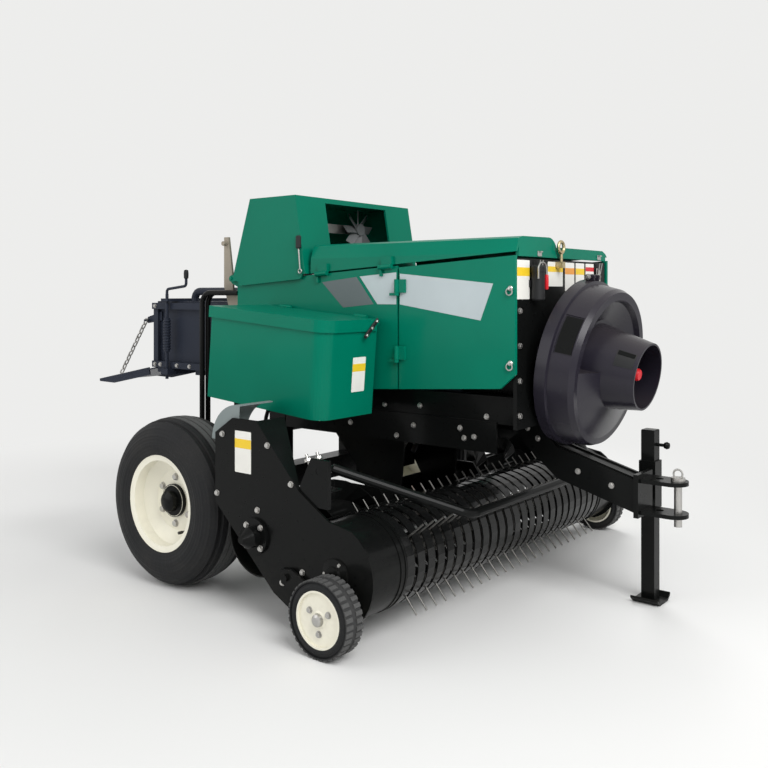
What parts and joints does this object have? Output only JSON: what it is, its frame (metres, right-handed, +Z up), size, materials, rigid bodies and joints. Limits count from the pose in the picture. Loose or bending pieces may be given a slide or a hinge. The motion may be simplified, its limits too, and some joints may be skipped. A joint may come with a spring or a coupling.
{
  "type": "square baler",
  "caption": "In-line square baler with a low tined pickup, knotter hood, twine boxes, shielded flywheel, clevis hitch on a drawbar, parking stand and folding bale chute.",
  "frame": {"origin": "middle of the machine on the ground: half way between the tip of the hitch and the end of the bale chute, in the middle plane", "axes": "+X forward to the hitch, +Y to the left, +Z up"},
  "size_m": [3.6497, 2.344, 1.78],
  "materials": {
    "green_paint": "gloss paint",
    "black_paint": "gloss paint",
    "slate_paint": "satin paint",
    "pale_rim": "gloss paint",
    "tyre_rubber": "moulded rubber",
    "zinc_steel": "zinc plated",
    "brass_zinc": "yellow zinc plated",
    "pale_plastic": "moulded plastic",
    "shield_plastic": "moulded plastic"
  },
  "bodies": {
    "chassis": {"axle": "black_paint", "frame_rails": "black_paint", "chamber_floor": "slate_paint", "chamber_side_right": "slate_paint", "chamber_side_left": "slate_paint", "chamber_top": "slate_paint", "plunger_head": "slate_paint", "body_ribs": "black_paint", "drawbar": "black_paint", "hitch_clevis": "black_paint", "hitch_pin": "zinc_steel", "stand_sleeve": "black_paint", "front_bulkhead": "black_paint", "lifting_eye": "brass_zinc", "main_gearbox": "black_paint", "flywheel_shield": "shield_plastic", "side_panel_right": "green_paint", "side_panel_left": "green_paint", "knotter_stack": "zinc_steel", "trip_arm": "brass_zinc", "twine_box_right": "green_paint", "twine_box_left": "green_paint", "tension_frame": "slate_paint", "top_pipe": "slate_paint", "needle_yoke": "black_paint", "guard_tubes": "black_paint", "feed_duct": "black_paint", "packer_fork": "zinc_steel"},
    "wheel_right": {"tyre_right": "tyre_rubber", "rim_right": "pale_rim"},
    "wheel_left": {"tyre_left": "tyre_rubber", "rim_left": "pale_rim"},
    "gauge_wheel_right": {"gauge_tyre_right": "tyre_rubber", "gauge_rim_right": "pale_rim"},
    "gauge_wheel_left": {"gauge_tyre_left": "tyre_rubber", "gauge_rim_left": "pale_rim"},
    "pickup": {"pickup_trough": "black_paint", "stripper_bands": "black_paint", "end_drums": "black_paint", "pickup_plates": "black_paint", "gauge_arms": "black_paint", "crop_deflectors": "pale_plastic"},
    "reel": {"tine_reel": "zinc_steel"},
    "auger": {"auger_shaft": "black_paint", "auger_flights": "black_paint"},
    "guard": {"wind_guard": "black_paint"},
    "stand": {"stand_leg": "black_paint"},
    "door_right": {"side_door_right": "green_paint"},
    "door_left": {"side_door_left": "green_paint"},
    "cover_right": {"top_cover_right": "green_paint"},
    "cover_left": {"top_cover_left": "green_paint"},
    "hood": {"knotter_hood": "green_paint"},
    "lid_right": {"twine_lid_right": "green_paint"},
    "lid_left": {"twine_lid_left": "green_paint"},
    "chute": {"bale_chute": "slate_paint"},
    "chains": {"chute_chains": "zinc_steel"},
    "drive": {"flywheel": "black_paint"},
    "fan": {"knotter_fan": "black_paint"}
  },
  "joints": [
    {"name": "wheel_right_spin", "type": "hinge", "parent": "chassis", "child": "wheel_right", "pos_m": [-0.17092, -0.905, 0.375], "axis": [0, 1, 0], "continuous": true},
    {"name": "wheel_left_spin", "type": "hinge", "parent": "chassis", "child": "wheel_left", "pos_m": [-0.17092, 0.905, 0.375], "axis": [0, 1, 0], "continuous": true},
    {"name": "pickup_lift", "type": "hinge", "parent": "chassis", "child": "pickup", "pos_m": [0.46908, 0, 0.345], "axis": [0, -1, 0], "range_deg": [0, 10]},
    {"name": "reel_spin", "type": "hinge", "parent": "pickup", "child": "reel", "pos_m": [0.89408, 0, 0.272], "axis": [0, 1, 0], "continuous": true},
    {"name": "auger_spin", "type": "hinge", "parent": "pickup", "child": "auger", "pos_m": [0.46908, 0, 0.345], "axis": [0, 1, 0], "continuous": true},
    {"name": "gauge_wheel_right_spin", "type": "hinge", "parent": "pickup", "child": "gauge_wheel_right", "pos_m": [0.91008, -1.126, 0.143], "axis": [0, 1, 0], "continuous": true},
    {"name": "gauge_wheel_left_spin", "type": "hinge", "parent": "pickup", "child": "gauge_wheel_left", "pos_m": [0.91008, 1.126, 0.143], "axis": [0, 1, 0], "continuous": true},
    {"name": "guard_float", "type": "hinge", "parent": "pickup", "child": "guard", "pos_m": [0.79708, 0, 0.64], "axis": [0, 1, 0], "range_deg": [-10, 0]},
    {"name": "stand_slide", "type": "slide", "parent": "chassis", "child": "stand", "axis": [0, 0, 1], "range_m": [0, 0.18]},
    {"name": "door_right_swing", "type": "hinge", "parent": "chassis", "child": "door_right", "pos_m": [0.70708, -0.442, 1.15], "axis": [0, 0, -1], "range_deg": [0, 95]},
    {"name": "door_left_swing", "type": "hinge", "parent": "chassis", "child": "door_left", "pos_m": [0.70708, 0.442, 1.15], "axis": [0, 0, 1], "range_deg": [0, 95]},
    {"name": "cover_right_lift", "type": "hinge", "parent": "chassis", "child": "cover_right", "pos_m": [0.22908, -0.442, 1.39885], "axis": [0.9978, 0, 0.067], "range_deg": [0, 80]},
    {"name": "cover_left_lift", "type": "hinge", "parent": "chassis", "child": "cover_left", "pos_m": [0.22908, 0.442, 1.39885], "axis": [-0.9978, 0, -0.067], "range_deg": [0, 80]},
    {"name": "hood_tilt", "type": "hinge", "parent": "chassis", "child": "hood", "pos_m": [-0.34892, 0, 1.384], "axis": [0, -1, 0], "range_deg": [0, 60]},
    {"name": "lid_right_lift", "type": "hinge", "parent": "chassis", "child": "lid_right", "pos_m": [-0.08508, -0.447, 1.25564], "axis": [0.9968, 0, -0.0802], "range_deg": [-78, 0]},
    {"name": "lid_left_lift", "type": "hinge", "parent": "chassis", "child": "lid_left", "pos_m": [-0.08508, 0.447, 1.25564], "axis": [-0.9968, 0, 0.0802], "range_deg": [-78, 0]},
    {"name": "chute_fold", "type": "hinge", "parent": "chassis", "child": "chute", "pos_m": [-1.24492, 0, 0.875], "axis": [0, 1, 0], "range_deg": [0, 75]},
    {"name": "chain_swing", "type": "hinge", "parent": "chassis", "child": "chains", "pos_m": [-1.28892, 0, 1.15], "axis": [0, 1, 0], "range_deg": [-37, 0]},
    {"name": "flywheel_spin", "type": "hinge", "parent": "chassis", "child": "drive", "pos_m": [1.37708, 0, 1.014], "axis": [0.9877, 0, -0.1564], "continuous": true},
    {"name": "fan_spin", "type": "hinge", "parent": "chassis", "child": "fan", "pos_m": [-0.07092, 0.222, 1.65588], "axis": [1, 0, 0], "continuous": true}
  ],
  "couplings": [
    {"joint": "chain_swing", "follows": "chute_fold", "ratio": -0.49333}
  ]
}
